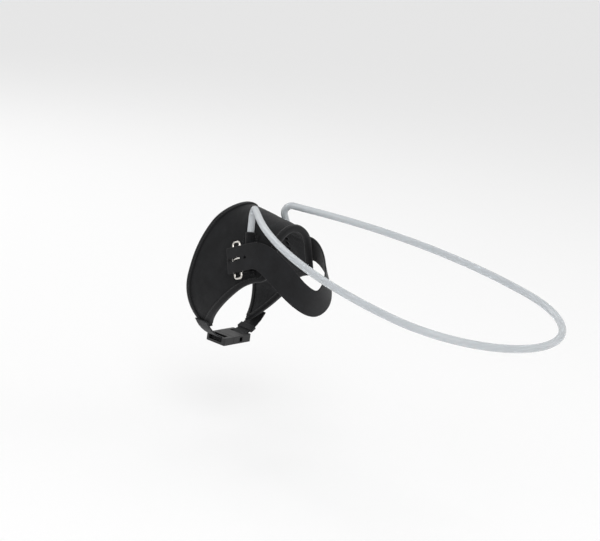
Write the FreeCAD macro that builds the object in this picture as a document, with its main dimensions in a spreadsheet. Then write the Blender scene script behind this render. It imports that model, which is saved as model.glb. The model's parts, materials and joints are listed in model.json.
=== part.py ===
import FreeCAD, Part
import math
import os
import Sketcher
from FreeCAD import Vector

# Halo guard harness for a small pet: a padded yoke worn over the withers, a clear
# bumper hoop whose two ends drop into sleeves on the yoke, a chest strap on two pin
# buckles and a girth strap with a side release buckle.
# Millimetres, +Z up, the wearer faces -Y, the wearer's right side is -X.
# The origin is the centre of the neck opening.

os.makedirs("parts", exist_ok=True)
doc = FreeCAD.newDocument("HaloGuardHarness")

# ---------------------------------------------------------------- driving sizes
SIZES = [
    # bumper hoop
    ("hoop_tube_diameter", 8.0),
    ("hoop_tube_wall", 1.1),
    ("hoop_core_diameter", 3.0),
    ("hoop_first_run", 46.0),
    ("hoop_flare_angle", 36.2),
    ("hoop_side_radius", 356.0),
    ("hoop_side_sweep", 43.3),
    ("hoop_pitch_angle", 8.0),
    ("hoop_bend_radius", 9.0),
    ("hoop_corner_height", 32.0),
    ("hoop_lift_travel", 50.0),
    ("end_cap_flange", 1.6),
    ("end_cap_plug_length", 6.0),
    ("end_cap_plug_clearance", 0.05),
    # yoke form
    ("yoke_top_radius", 36.0),
    ("yoke_top_height", 38.0),
    ("yoke_bottom_radius", 56.0),
    ("yoke_bottom_drop", 30.0),
    ("yoke_front_scale", 0.856),
    ("yoke_rear_scale", 1.06),
    ("yoke_front_station", 60.0),
    ("yoke_rear_station", 65.0),
    ("shell_thickness", 1.6),
    ("foam_thickness", 3.0),
    ("lining_thickness", 1.0),
    ("binding_wrap", 0.7),
    ("binding_width", 3.6),
    ("binding_return", 0.9),
    ("outline_upper_radius", 105.0),
    ("outline_lower_radius", 162.0),
    ("outline_rear_reach", 54.0),
    ("outline_rear_height", 5.0),
    ("outline_front_reach", 54.0),
    ("outline_arch_radius", 57.0),
    ("outline_arch_forward", 62.0),
    ("outline_arch_top", 3.5),
    ("outline_arch_sweep", 50.0),
    ("outline_tip_radius", 4.0),
    ("outline_corner_radius", 10.0),
    # hoop sleeves
    ("sleeve_wall", 0.8),
    ("sleeve_clearance", 0.1),
    ("sleeve_forward", 15.0),
    ("sleeve_height", 49.5),
    ("sleeve_tilt", 16.5),
    ("sleeve_sink", 3.9),
        ("sleeve_foot", -44.0),
    ("sleeve_toe", 1.2),
    ("sleeve_flange_width", 4.0),
    ("sleeve_flange_thickness", 0.8),
    ("sleeve_lip_length", 4.0),
    ("sleeve_lip_thickness", 0.6),
    # pin buckles
    ("buckle_forward", 15.0),
    ("buckle_height", 17.3),
    ("buckle_tilt", 27.0),
    ("frame_wire", 2.6),
    ("frame_length", 42.0),
    ("frame_width", 9.0),
    ("frame_corner", 3.0),
    ("roller_diameter", 3.9),
    ("frame_over_stub", 7.3),
    ("roller_length", 33.0),
    ("pivot_clearance", 0.1),
    ("tongue_wire", 2.0),
    ("tongue_hub_length", 4.0),
    ("tongue_hub_wall", 1.0),
    ("tongue_overhang", 2.4),
    ("tongue_gap", 0.3),
    ("tab_length", 8.5),
    ("tab_height", 22.0),
    ("tab_thickness", 1.6),
    ("tab_notch_gap", 1.0),
    ("side_gap", 0.3),
    # chest strap
    ("chest_strap_width", 30.0),
    ("chest_strap_thickness", 1.6),
    ("chest_strap_tail", 6.5),
    ("chest_strap_run", 16.0),
    ("chest_strap_reach", 98.0),
    ("chest_strap_drop", 14.0),
    ("chest_strap_lead", 30.0),
    ("chest_strap_spread", 40.0),
    ("chest_strap_lean", 0.12),
    ("strap_slot_width", 3.2),
    ("strap_slot_rear", 4.9),
    ("strap_slot_front", 3.2),
    ("strap_hole_diameter", 3.4),
    ("strap_hole_start", 8.5),
    ("strap_hole_spacing", 9.0),
    # girth strap and its buckle
    ("girth_width", 20.0),
    ("girth_thickness", 1.6),
    ("girth_centre_station", 29.0),
    ("girth_lap_height", 14.0),
    ("girth_gap", 0.5),
    ("clip_width", 30.0),
    ("clip_thickness", 9.0),
    ("clip_wall", 1.8),
    ("clip_female_length", 29.0),
    ("clip_male_length", 16.0),
    ("clip_cavity_depth", 16.0),
    ("clip_bar", 3.0),
    ("clip_slot", 7.0),
    ("clip_end_rail", 3.2),
    ("clip_face_gap", 0.4),
    ("clip_fit", 0.4),
    ("clip_prong_length", 14.0),
    ("clip_prong_width", 3.6),
    ("clip_prong_inset", 1.4),
    ("clip_barb_length", 5.0),
    ("clip_guide_width", 6.0),
    ("clip_guide_length", 11.0),
    ("clip_corner", 2.0),
    ("keeper_width", 8.0),
    ("keeper_thickness", 1.2),
    ("keeper_gap", 0.25),
    ("keeper_angle", 60.0),
    ("lap_stitch_length", 12.0),
]

sheet = doc.addObject("Spreadsheet::Sheet", "sizes")
for row, (alias, value) in enumerate(SIZES, start=1):
    sheet.set("A%d" % row, alias)
    sheet.set("B%d" % row, repr(value))
    sheet.setAlias("B%d" % row, alias)
doc.recompute()


def size(alias):
    """The value of one named cell of the sheet."""
    return float(sheet.get(alias))


NODES = {}


def keep(obj, label):
    """Give a finished sub-part its own label, which also names its file."""
    obj.Label = label
    NODES[label] = obj
    return obj


def feature(label, shape, node=True):
    """A sub-part whose shape comes straight from Part's functions."""
    obj = doc.addObject("Part::Feature", label)
    obj.Shape = shape
    if node:
        keep(obj, label)
    return obj


def mirrored(source, label):
    """The left-hand twin of a right-hand sub-part, across the middle plane."""
    twin = doc.addObject("Part::Mirroring", label)
    twin.Source = source
    twin.Base = Vector(0, 0, 0)
    twin.Normal = Vector(1, 0, 0)
    return keep(twin, label)


# ---------------------------------------------------------------- yoke form
front_y = -size("yoke_front_station")
rear_y = size("yoke_rear_station")
scale_slope = (size("yoke_rear_scale") - size("yoke_front_scale")) / (rear_y - front_y)


def yoke_scale(y):
    """Size of the yoke's cross-section at a station along the back."""
    return size("yoke_front_scale") + (y - front_y) * scale_slope


side_rise = size("yoke_top_height") + size("yoke_bottom_drop")
side_sine = (size("yoke_bottom_radius") - size("yoke_top_radius")) / side_rise
side_cosine = math.sqrt(1 - side_sine ** 2)
side_support = size("yoke_top_radius") + size("yoke_top_height") * side_sine


def egg(y, offset):
    """Closed cross-section wire at station y, moved outward by offset."""
    k = yoke_scale(y)
    top = Vector(0, y, size("yoke_top_height") * k)
    bottom = Vector(0, y, -size("yoke_bottom_drop") * k)
    top_r = size("yoke_top_radius") * k + offset
    bottom_r = size("yoke_bottom_radius") * k + offset
    right = Vector(-side_cosine, 0, side_sine)
    left = Vector(side_cosine, 0, side_sine)
    up = Vector(0, 0, 1)
    a = top + right * top_r
    b = top + left * top_r
    c = bottom + left * bottom_r
    d = bottom + right * bottom_r
    return Part.Wire([
        Part.Arc(a, top + up * top_r, b).toShape(),
        Part.LineSegment(b, c).toShape(),
        Part.Arc(c, bottom - up * bottom_r, d).toShape(),
        Part.LineSegment(d, a).toShape(),
    ])


def form(offset, y0=None, y1=None):
    """Solid tapered body of the cross-section, from station y0 to y1."""
    start = front_y if y0 is None else y0
    end = rear_y if y1 is None else y1
    return Part.makeLoft([egg(start, offset), egg(end, offset)], True, True)


def layer(inner, outer):
    """Tapered wall between two offsets of the form."""
    return form(outer).cut(form(inner, front_y - 1, rear_y + 1))


def outline_face():
    """Side outline of the yoke in the YZ plane: a crescent with a forward wing."""
    upper = size("outline_upper_radius")
    lower = size("outline_lower_radius")
    rear = size("outline_rear_reach")
    waist = size("outline_rear_height")
    upper_y = rear - upper
    lower_y = rear - lower
    top_z = size("yoke_top_height") + size("yoke_top_radius") * size("yoke_rear_scale") + 20
    top_z = min(top_z, waist + upper * 0.985)
    crest_y = upper_y + math.sqrt(upper ** 2 - (top_z - waist) ** 2)
    front = -size("outline_front_reach")
    arch_r = size("outline_arch_radius")
    arch_y = -size("outline_arch_forward")
    arch_z = size("outline_arch_top") - arch_r
    sweep = math.radians(size("outline_arch_sweep"))
    start = math.asin((front - arch_y) / arch_r)

    def arch(angle):
        return Vector(0, arch_y + arch_r * math.sin(angle), arch_z + arch_r * math.cos(angle))

    foot = arch(sweep)
    step = Vector(0, math.cos(sweep), -math.sin(sweep))
    reach = foot - Vector(0, lower_y, waist)
    along = reach.dot(step)
    tip = foot + step * (-along + math.sqrt(along ** 2 - reach.dot(reach) + lower ** 2))
    shoulder = Vector(0, front, top_z)
    waist_point = Vector(0, rear, waist)
    crest = Vector(0, crest_y, top_z)
    tip_angle = math.atan2(tip.z - waist, tip.y - lower_y) / 2
    crest_angle = math.atan2(top_z - waist, crest_y - upper_y) / 2
    lower_mid = Vector(0, lower_y + lower * math.cos(tip_angle), waist + lower * math.sin(tip_angle))
    upper_mid = Vector(0, upper_y + upper * math.cos(crest_angle), waist + upper * math.sin(crest_angle))
    edges = [
        Part.LineSegment(shoulder, arch(start)).toShape(),
        Part.Arc(arch(start), arch((start + sweep) / 2), foot).toShape(),
        Part.LineSegment(foot, tip).toShape(),
        Part.Arc(tip, lower_mid, waist_point).toShape(),
        Part.Arc(waist_point, upper_mid, crest).toShape(),
        Part.LineSegment(crest, shoulder).toShape(),
    ]
    return Part.Face(Part.Wire(edges)), tip


OUTLINE, TIP = outline_face()
REACH_X = size("yoke_bottom_radius") * 2 + 40


def outline_prism(inset):
    """The outline, drawn in by inset, run across the whole width of the yoke."""
    face = OUTLINE if inset == 0 else OUTLINE.makeOffset2D(-inset)
    prism = face.extrude(Vector(REACH_X * 2, 0, 0))
    prism.translate(Vector(-REACH_X, 0, 0))

    def across():
        return [e for e in prism.Edges if abs(e.Length - REACH_X * 2) < 0.01]

    tip_edge = min(across(), key=lambda e: e.Vertexes[0].Z)
    prism = prism.makeFillet(max(size("outline_tip_radius") - inset, 0.8), [tip_edge])
    low = [e for e in across() if e.Vertexes[0].Z < size("yoke_top_height")]
    corner_edge = min(low, key=lambda e: e.Vertexes[0].Y)
    return prism.makeFillet(max(size("outline_corner_radius") - inset, 0.8), [corner_edge])


# ---------------------------------------------------------------- side frame
# Everything sewn to the yoke's side is laid out in frames on the flat side face:
# along = forward, rise = up the face, out = away from the wearer.
out_dir = Vector(-side_cosine, -side_support * scale_slope, side_sine)
out_dir.normalize()
rise_dir = Vector(side_sine, 0, side_cosine)
along_dir = rise_dir.cross(out_dir)
if along_dir.y > 0:
    along_dir = along_dir * -1
along_dir.normalize()


class SideFrame:
    """A tilted frame with its origin on the right-hand side face."""

    def __init__(self, forward, height, tilt_degrees):
        tilt = math.radians(tilt_degrees)
        self.rise = rise_dir * math.cos(tilt) - along_dir * math.sin(tilt)
        self.along = along_dir * math.cos(tilt) + rise_dir * math.sin(tilt)
        x = -(side_support * yoke_scale(-forward) - side_sine * height) / side_cosine
        self.origin = Vector(x, -forward, height)
        third = self.along.cross(self.rise)
        self.sign = 1.0 if third.dot(out_dir) > 0 else -1.0
        columns = (self.along, self.rise, third, self.origin)
        matrix = FreeCAD.Matrix(
            columns[0].x, columns[1].x, columns[2].x, columns[3].x,
            columns[0].y, columns[1].y, columns[2].y, columns[3].y,
            columns[0].z, columns[1].z, columns[2].z, columns[3].z,
            0, 0, 0, 1)
        self.placement = FreeCAD.Placement(matrix)

    def point(self, along, rise, out):
        """A point of this frame, in the part's own frame."""
        return self.origin + self.along * along + self.rise * rise + out_dir * out

    def local(self, along, rise, out):
        """The same point in the placement's own axes."""
        return Vector(along, rise, out * self.sign)

    def outward(self):
        return Vector(0, 0, self.sign)

    def carry(self, shape):
        """A shape drawn in this frame's axes, set on the yoke's right side."""
        moved = shape.copy()
        moved.transformShape(self.placement.toMatrix(), True)
        return moved

    def block(self, a0, a1, r0, r1, o0, o1):
        """Box between two corners."""
        low, high = sorted((o0 * self.sign, o1 * self.sign))
        return Part.makeBox(a1 - a0, r1 - r0, high - low, Vector(a0, r0, low))

    def bar(self, along, out, r0, r1, radius):
        """Round bar running up the face."""
        return Part.makeCylinder(radius, r1 - r0, self.local(along, r0, out), Vector(0, 1, 0))

    def peg(self, along, rise, out, length, radius):
        """Round peg standing out of the face."""
        return Part.makeCylinder(radius, length, self.local(along, rise, out), self.outward())


SLEEVE = SideFrame(size("sleeve_forward"), size("sleeve_height"), size("sleeve_tilt"))
BUCKLE = SideFrame(size("buckle_forward"), size("buckle_height"), size("buckle_tilt"))


# ---------------------------------------------------------------- sleeve and stub line
tube_r = size("hoop_tube_diameter") / 2
sleeve_bore = tube_r + size("sleeve_clearance")
sleeve_r = sleeve_bore + size("sleeve_wall")
roller_r = size("roller_diameter") / 2
frame_half = size("frame_width") / 2
stub_out = sleeve_r - size("sleeve_sink")
sleeve_top = stub_out + sleeve_r
frame_out = stub_out + size("frame_over_stub")

# ---------------------------------------------------------------- bumper hoop
pitch = math.radians(size("hoop_pitch_angle"))
flare = math.radians(size("hoop_flare_angle"))
turn = math.radians(size("hoop_side_sweep"))


def hoop_point(base, x, forward):
    """A point of the hoop's own plane, which slopes down toward the front."""
    return Vector(x, base.y - forward * math.cos(pitch), base.z - forward * math.sin(pitch))


stub_foot = SLEEVE.point(0, size("sleeve_foot") + size("sleeve_toe"), stub_out)
stub_foot = stub_foot + SLEEVE.rise * (size("end_cap_flange") + size("side_gap"))
corner = SLEEVE.point(0, size("hoop_corner_height"), stub_out)
run = size("hoop_first_run")
side_r = size("hoop_side_radius")
x0, f0 = corner.x, 0.0
x1 = x0 - run * math.sin(flare)
f1 = f0 + run * math.cos(flare)


def side_arc(angle):
    """Point of the long side arc where the heading has come to angle."""
    x = x1 - side_r * (math.cos(angle) - math.cos(flare))
    f = f1 + side_r * (math.sin(flare) - math.sin(angle))
    return x, f


heading_end = flare - turn
x2, f2 = side_arc(heading_end)
nose_r = abs(x2) / math.cos(heading_end)


def nose_arc(angle):
    """Point of the nose arc, which closes on the middle plane."""
    x = x2 + nose_r * (math.cos(heading_end) - math.cos(angle))
    f = f2 + nose_r * (math.sin(heading_end) - math.sin(angle))
    return x, f


def mirror_x(v):
    return Vector(-v.x, v.y, v.z)


p1 = hoop_point(corner, x1, f1)
p_side_mid = hoop_point(corner, *side_arc((flare + heading_end) / 2))
p2 = hoop_point(corner, x2, f2)
p_nose_mid = hoop_point(corner, *nose_arc((heading_end - math.pi / 2) / 2))
p3 = hoop_point(corner, *nose_arc(-math.pi / 2))

to_stub = (stub_foot - corner).normalize()
to_hoop = (p1 - corner).normalize()
bend = math.pi - to_stub.getAngle(to_hoop)
tangent_length = size("hoop_bend_radius") * math.tan(bend / 2)
bend_a = corner + to_stub * tangent_length
bend_b = corner + to_hoop * tangent_length
bisector = (to_stub + to_hoop).normalize()
bend_centre = corner + bisector * (size("hoop_bend_radius") / math.cos(bend / 2))
bend_mid = bend_centre - bisector * size("hoop_bend_radius")


def hoop_spine(foot):
    """Centreline of the hoop from one stub, round the nose, to the other stub."""
    right = [
        Part.LineSegment(foot, bend_a).toShape(),
        Part.Arc(bend_a, bend_mid, bend_b).toShape(),
        Part.LineSegment(bend_b, p1).toShape(),
        Part.Arc(p1, p_side_mid, p2).toShape(),
        Part.Arc(p2, p_nose_mid, p3).toShape(),
    ]
    left = [
        Part.Arc(p3, mirror_x(p_nose_mid), mirror_x(p2)).toShape(),
        Part.Arc(mirror_x(p2), mirror_x(p_side_mid), mirror_x(p1)).toShape(),
        Part.LineSegment(mirror_x(p1), mirror_x(bend_b)).toShape(),
        Part.Arc(mirror_x(bend_b), mirror_x(bend_mid), mirror_x(bend_a)).toShape(),
        Part.LineSegment(mirror_x(bend_a), mirror_x(foot)).toShape(),
    ]
    return Part.Wire(right + left)


def hoop_rod(spine, radius):
    """Round bar along a spine, made as one half and its mirror image."""
    edges = spine.Edges[:5]
    start = edges[0].valueAt(edges[0].FirstParameter)
    direction = edges[0].tangentAt(edges[0].FirstParameter)
    profile = Part.Wire([Part.makeCircle(radius, start, direction)])
    half = Part.Wire(edges).makePipeShell([profile], True, False)
    return half.fuse(half.mirror(Vector(0, 0, 0), Vector(1, 0, 0))).removeSplitter()


core_foot = stub_foot + SLEEVE.rise * (size("end_cap_plug_length") + size("side_gap"))
spine = hoop_spine(stub_foot)
tube_bore = tube_r - size("hoop_tube_wall")
tube = hoop_rod(spine, tube_r).cut(hoop_rod(spine, tube_bore))
feature("hoop_tube", tube)
feature("hoop_core_wire", hoop_rod(hoop_spine(core_foot), size("hoop_core_diameter") / 2))

cap_flange = Part.makeCylinder(
    tube_r, size("end_cap_flange"), stub_foot - SLEEVE.rise * size("end_cap_flange"), SLEEVE.rise)
cap_plug = Part.makeCylinder(
    tube_bore - size("end_cap_plug_clearance"), size("end_cap_plug_length"), stub_foot, SLEEVE.rise)
cap_right = feature("hoop_end_cap_right", cap_flange.fuse(cap_plug).removeSplitter())
mirrored(cap_right, "hoop_end_cap_left")

# ---------------------------------------------------------------- yoke layers
shell_in = -size("shell_thickness")
foam_in = shell_in - size("foam_thickness")
lining_in = foam_in - size("lining_thickness")
edge_prism = outline_prism(0)
core_prism = outline_prism(size("binding_return"))
inner_prism = outline_prism(size("binding_width"))

# The sleeve and its flange sit in a slot pressed into the shell and the padding.
pocket_r = sleeve_r + size("sleeve_lip_thickness") + size("side_gap")
pocket_low = size("sleeve_foot") - size("side_gap")
pocket_high = size("hoop_corner_height")
pocket = SLEEVE.carry(SLEEVE.bar(0, stub_out, pocket_low, pocket_high, pocket_r))
pockets = pocket.fuse(pocket.mirror(Vector(0, 0, 0), Vector(1, 0, 0)))

shell = layer(shell_in, 0).common(core_prism).cut(pockets)
foam = layer(foam_in, shell_in).common(core_prism).cut(pockets)
lining = layer(lining_in, foam_in).common(core_prism)
channel = layer(lining_in, 0).common(core_prism)
wrap = layer(lining_in - size("binding_wrap"), size("binding_wrap")).common(edge_prism)
binding = wrap.cut(channel).cut(inner_prism)
feature("yoke_outer_shell", shell)
feature("yoke_foam", foam)
feature("yoke_mesh_lining", lining)
feature("yoke_edge_binding", binding)

# ---------------------------------------------------------------- sleeves
foot = size("sleeve_foot")
lip = size("sleeve_lip_length")
lip_r = sleeve_r + size("sleeve_lip_thickness")
sleeve = SLEEVE.bar(0, stub_out, foot, 0, sleeve_r)
sleeve = sleeve.fuse(SLEEVE.bar(0, stub_out, -lip, 0, lip_r))
sleeve = sleeve.cut(SLEEVE.bar(0, stub_out, foot + size("sleeve_toe"), 1, sleeve_bore))
sleeve_right = feature("sleeve_right", SLEEVE.carry(sleeve.removeSplitter()))
mirrored(sleeve_right, "sleeve_left")

flange_t = size("sleeve_flange_thickness")
flange_half = pocket_r + size("sleeve_flange_width")
flange = SLEEVE.block(-flange_half, flange_half, foot - size("sleeve_flange_width"),
                      -lip - size("side_gap"), 0, flange_t)
flange = flange.cut(SLEEVE.bar(0, stub_out, foot - size("side_gap"), lip, sleeve_r + 0.05))
patch_right = feature("sleeve_patch_right", SLEEVE.carry(flange))
mirrored(patch_right, "sleeve_patch_left")


# ---------------------------------------------------------------- sketches and bodies
def origin_plane(body, role):
    """One of a body's own origin planes."""
    for item in body.Origin.OriginFeatures:
        if item.Role == role:
            return item
    raise ValueError(role)


def new_body(name, placement):
    body = doc.addObject("PartDesign::Body", name)
    body.Placement = placement
    return body


def new_sketch(body, name, role):
    sketch = body.newObject("Sketcher::SketchObject", name)
    sketch.AttachmentSupport = (origin_plane(body, role), [""])
    sketch.MapMode = "FlatFace"
    return sketch


def bind(sketch, index, name, expression):
    """Name a dimension of a sketch and bind it to the sheet."""
    sketch.renameConstraint(index, name)
    sketch.setExpression("Constraints." + name, expression)


def add_circle(sketch, name, x, y, radius, x_expr, y_expr, radius_expr):
    """Circle whose centre and radius follow the sheet."""
    circle = sketch.addGeometry(Part.Circle(Vector(x, y, 0), Vector(0, 0, 1), radius))
    c = sketch.addConstraint(Sketcher.Constraint("Radius", circle, radius))
    bind(sketch, c, name + "_radius", radius_expr)
    if x_expr is None:
        sketch.addConstraint(Sketcher.Constraint("PointOnObject", circle, 3, -2))
    else:
        c = sketch.addConstraint(Sketcher.Constraint("DistanceX", -1, 1, circle, 3, x))
        bind(sketch, c, name + "_x", x_expr)
    if y_expr is None:
        sketch.addConstraint(Sketcher.Constraint("PointOnObject", circle, 3, -1))
    else:
        c = sketch.addConstraint(Sketcher.Constraint("DistanceY", -1, 1, circle, 3, y))
        bind(sketch, c, name + "_y", y_expr)
    return circle


def add_rectangle(sketch, name, x0, y0, x1, y1, exprs):
    """Rectangle with its four edges bound: exprs give x0, y0, x1 and y1."""
    corners = [Vector(x0, y0, 0), Vector(x1, y0, 0), Vector(x1, y1, 0), Vector(x0, y1, 0)]
    lines = []
    for i in range(4):
        lines.append(sketch.addGeometry(Part.LineSegment(corners[i], corners[(i + 1) % 4])))
    for i in range(4):
        sketch.addConstraint(Sketcher.Constraint("Coincident", lines[i], 2, lines[(i + 1) % 4], 1))
    sketch.addConstraint(Sketcher.Constraint("Horizontal", lines[0]))
    sketch.addConstraint(Sketcher.Constraint("Vertical", lines[1]))
    sketch.addConstraint(Sketcher.Constraint("Horizontal", lines[2]))
    sketch.addConstraint(Sketcher.Constraint("Vertical", lines[3]))
    spots = [("DistanceX", lines[0], 1, x0), ("DistanceY", lines[0], 1, y0),
             ("DistanceX", lines[2], 1, x1), ("DistanceY", lines[2], 1, y1)]
    for tag, (kind, line, end, value), expr in zip(("x0", "y0", "x1", "y1"), spots, exprs):
        c = sketch.addConstraint(Sketcher.Constraint(kind, -1, 1, line, end, value))
        bind(sketch, c, name + "_" + tag, expr)
    return lines


# ---------------------------------------------------------------- buckle frame
wire_r = size("frame_wire") / 2
bar_spacing = size("frame_width")
half_length = size("frame_length") / 2
frame_place = FreeCAD.Placement(BUCKLE.point(0, 0, frame_out), BUCKLE.placement.Rotation)

frame_body = new_body("buckle_frame_body", frame_place)
path = new_sketch(frame_body, "frame_path", "XY_Plane")
corner_r = size("frame_corner")
xs, ys = frame_half, half_length
rounded = [
    Part.LineSegment(Vector(-xs + corner_r, -ys, 0), Vector(xs - corner_r, -ys, 0)),
    Part.ArcOfCircle(Part.Circle(Vector(xs - corner_r, -ys + corner_r, 0), Vector(0, 0, 1), corner_r),
                     -math.pi / 2, 0),
    Part.LineSegment(Vector(xs, -ys + corner_r, 0), Vector(xs, ys - corner_r, 0)),
    Part.ArcOfCircle(Part.Circle(Vector(xs - corner_r, ys - corner_r, 0), Vector(0, 0, 1), corner_r),
                     0, math.pi / 2),
    Part.LineSegment(Vector(xs - corner_r, ys, 0), Vector(-xs + corner_r, ys, 0)),
    Part.ArcOfCircle(Part.Circle(Vector(-xs + corner_r, ys - corner_r, 0), Vector(0, 0, 1), corner_r),
                     math.pi / 2, math.pi),
    Part.LineSegment(Vector(-xs, ys - corner_r, 0), Vector(-xs, -ys + corner_r, 0)),
    Part.ArcOfCircle(Part.Circle(Vector(-xs + corner_r, -ys + corner_r, 0), Vector(0, 0, 1), corner_r),
                     math.pi, 3 * math.pi / 2),
]
for piece in rounded:
    path.addGeometry(piece)
for first, first_end, second, second_end in (
        (0, 2, 1, 1), (1, 2, 2, 1), (2, 2, 3, 1), (3, 2, 4, 1),
        (4, 2, 5, 1), (5, 2, 6, 1), (6, 2, 7, 1), (7, 2, 0, 1)):
    path.addConstraint(Sketcher.Constraint("Tangent", first, first_end, second, second_end))
path.addConstraint(Sketcher.Constraint("Vertical", 2))
path.addConstraint(Sketcher.Constraint("Horizontal", 0))
path.addConstraint(Sketcher.Constraint("Equal", 1, 3))
path.addConstraint(Sketcher.Constraint("Equal", 3, 5))
path.addConstraint(Sketcher.Constraint("Equal", 5, 7))
bind(path, path.addConstraint(Sketcher.Constraint("Radius", 1, corner_r)), "corner", "sizes.frame_corner")
bind(path, path.addConstraint(Sketcher.Constraint("DistanceX", -1, 1, 2, 1, xs)),
     "front", "sizes.frame_width / 2")
bind(path, path.addConstraint(Sketcher.Constraint("DistanceX", 6, 1, -1, 1, xs)),
     "rear", "sizes.frame_width / 2")
bind(path, path.addConstraint(Sketcher.Constraint("DistanceY", -1, 1, 4, 1, ys)),
     "top", "sizes.frame_length / 2")
bind(path, path.addConstraint(Sketcher.Constraint("DistanceY", 0, 1, -1, 1, ys)),
     "bottom", "sizes.frame_length / 2")
section = new_sketch(frame_body, "frame_section", "XZ_Plane")
add_circle(section, "wire", xs, 0, wire_r, "sizes.frame_width / 2", None, "sizes.frame_wire / 2")
doc.recompute()
pipe = frame_body.newObject("PartDesign::AdditivePipe", "frame_wire_sweep")
pipe.Profile = section
pipe.Spine = (path, ["Edge%d" % i for i in range(1, 9)])
frame_body.Tip = pipe
keep(frame_body, "buckle_frame_right")
mirrored(frame_body, "buckle_frame_left")

# ---------------------------------------------------------------- roller
roller_place = FreeCAD.Placement(BUCKLE.point(frame_half, 0, frame_out), BUCKLE.placement.Rotation)
roller_body = new_body("buckle_roller_body", roller_place)
ring = new_sketch(roller_body, "roller_section", "XZ_Plane")
add_circle(ring, "outer", 0, 0, roller_r, None, None, "sizes.roller_diameter / 2")
add_circle(ring, "bore", 0, 0, wire_r + size("pivot_clearance"), None, None,
           "sizes.frame_wire / 2 + sizes.pivot_clearance")
roller_pad = roller_body.newObject("PartDesign::Pad", "roller_tube")
roller_pad.Profile = ring
roller_pad.setExpression("Length", "sizes.roller_length")
if "Midplane" in roller_pad.PropertiesList:
    roller_pad.Midplane = True
else:
    roller_pad.SideType = "Symmetric"
roller_body.Tip = roller_pad
keep(roller_body, "buckle_roller_right")
mirrored(roller_body, "buckle_roller_left")

# ---------------------------------------------------------------- tongue
hub_bore = wire_r + size("pivot_clearance")
strap_low = frame_out + max(roller_r, hub_bore + size("tab_thickness")) + size("side_gap")
strap_low = max(strap_low, sleeve_top + size("sleeve_lip_thickness") + size("side_gap"))
strap_t = size("chest_strap_thickness")
strap_high = strap_low + strap_t
hub_r = hub_bore + size("tongue_hub_wall")
tongue_r = size("tongue_wire") / 2
tongue_z = strap_high + size("tongue_gap") + tongue_r
hub_half = size("tongue_hub_length") / 2
tip_along = frame_half + size("tongue_overhang")
hub = Part.makeCylinder(hub_r, hub_half * 2, BUCKLE.local(-frame_half, -hub_half, frame_out), Vector(0, 1, 0))
climb = [
    BUCKLE.local(-frame_half, 0, frame_out),
    BUCKLE.local(-frame_half + 1.0, 0, frame_out + hub_r),
    BUCKLE.local(frame_half - 2.2, 0, tongue_z),
    BUCKLE.local(tip_along, 0, tongue_z),
]
climb[1] = BUCKLE.local(-frame_half, 0, frame_out + hub_r - 0.2)
shaft = Part.makeSphere(tongue_r, climb[1])
for start, end in zip(climb[:-1], climb[1:]):
    step = end - start
    rod = Part.makeCylinder(tongue_r, step.Length, start, step)
    shaft = shaft.fuse(rod).fuse(Part.makeSphere(tongue_r, end))
tongue = hub.fuse(shaft)
tongue = tongue.cut(BUCKLE.bar(-frame_half, frame_out, -half_length, half_length, hub_bore)).removeSplitter()
tongue_right = feature("buckle_tongue_right", BUCKLE.carry(tongue))
mirrored(tongue_right, "buckle_tongue_left")

# ---------------------------------------------------------------- tab
tab_t = size("tab_thickness")
tab_half = size("tab_height") / 2
loop_r = hub_bore + tab_t
tab_rear = -frame_half - size("tab_length")
tab = BUCKLE.block(tab_rear, -frame_half, -tab_half, tab_half, frame_out - loop_r, frame_out - loop_r + tab_t)
tab = tab.fuse(BUCKLE.bar(-frame_half, frame_out, -tab_half, tab_half, loop_r))
upper = BUCKLE.block(tab_rear, -frame_half, -tab_half, tab_half,
              frame_out - loop_r + tab_t, frame_out - loop_r + 2 * tab_t)
tab = tab.fuse(upper)
tab = tab.cut(BUCKLE.bar(-frame_half, frame_out, -tab_half - 1, tab_half + 1, hub_bore))
notch = hub_half + size("tab_notch_gap")
notch_rear = hub_r + size("tab_notch_gap")
tab = tab.cut(BUCKLE.block(-frame_half - notch_rear, 0, -notch, notch, frame_out - loop_r - 1, frame_out + loop_r + 1))
under = BUCKLE.block(tab_rear, -frame_half - loop_r, -tab_half, tab_half, 0, frame_out - loop_r)
tab = tab.fuse(under).removeSplitter()
tab_right = feature("buckle_tab_right", BUCKLE.carry(tab))
mirrored(tab_right, "buckle_tab_left")

# ---------------------------------------------------------------- chest strap
strap_half = size("chest_strap_width") / 2
strap_rear = -frame_half - size("chest_strap_tail")
strap_front = frame_half + size("chest_strap_run")
flat = BUCKLE.block(strap_rear, strap_front, -strap_half, strap_half, strap_low, strap_high)
slot_half = size("strap_slot_width") / 2
slot_rear = -frame_half - size("strap_slot_rear")
slot_front = size("strap_slot_front")
flat = flat.cut(BUCKLE.block(slot_rear + slot_half, slot_front - slot_half, -slot_half, slot_half,
                      strap_low - 1, strap_high + 1))
for along in (slot_rear + slot_half, slot_front - slot_half):
    flat = flat.cut(Part.makeCylinder(slot_half, strap_t + 2,
                                      BUCKLE.local(along, 0, strap_low - 1), Vector(0, 0, BUCKLE.sign)))
hole_first = frame_half + size("strap_hole_start")
for i in range(2):
    along = hole_first + size("strap_hole_spacing") * i
    flat = flat.cut(Part.makeCylinder(size("strap_hole_diameter") / 2, strap_t + 2,
                                      BUCKLE.local(along, 0, strap_low - 1), Vector(0, 0, BUCKLE.sign)))
flat = BUCKLE.carry(flat)

strap_mid = (strap_low + strap_high) / 2
strap_start = BUCKLE.point(strap_front, 0, strap_mid)
reach = size("chest_strap_reach")
drop = size("chest_strap_drop")
front_point = Vector(0, -reach, -drop)


def unit(v):
    w = Vector(v)
    w.normalize()
    return w


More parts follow.
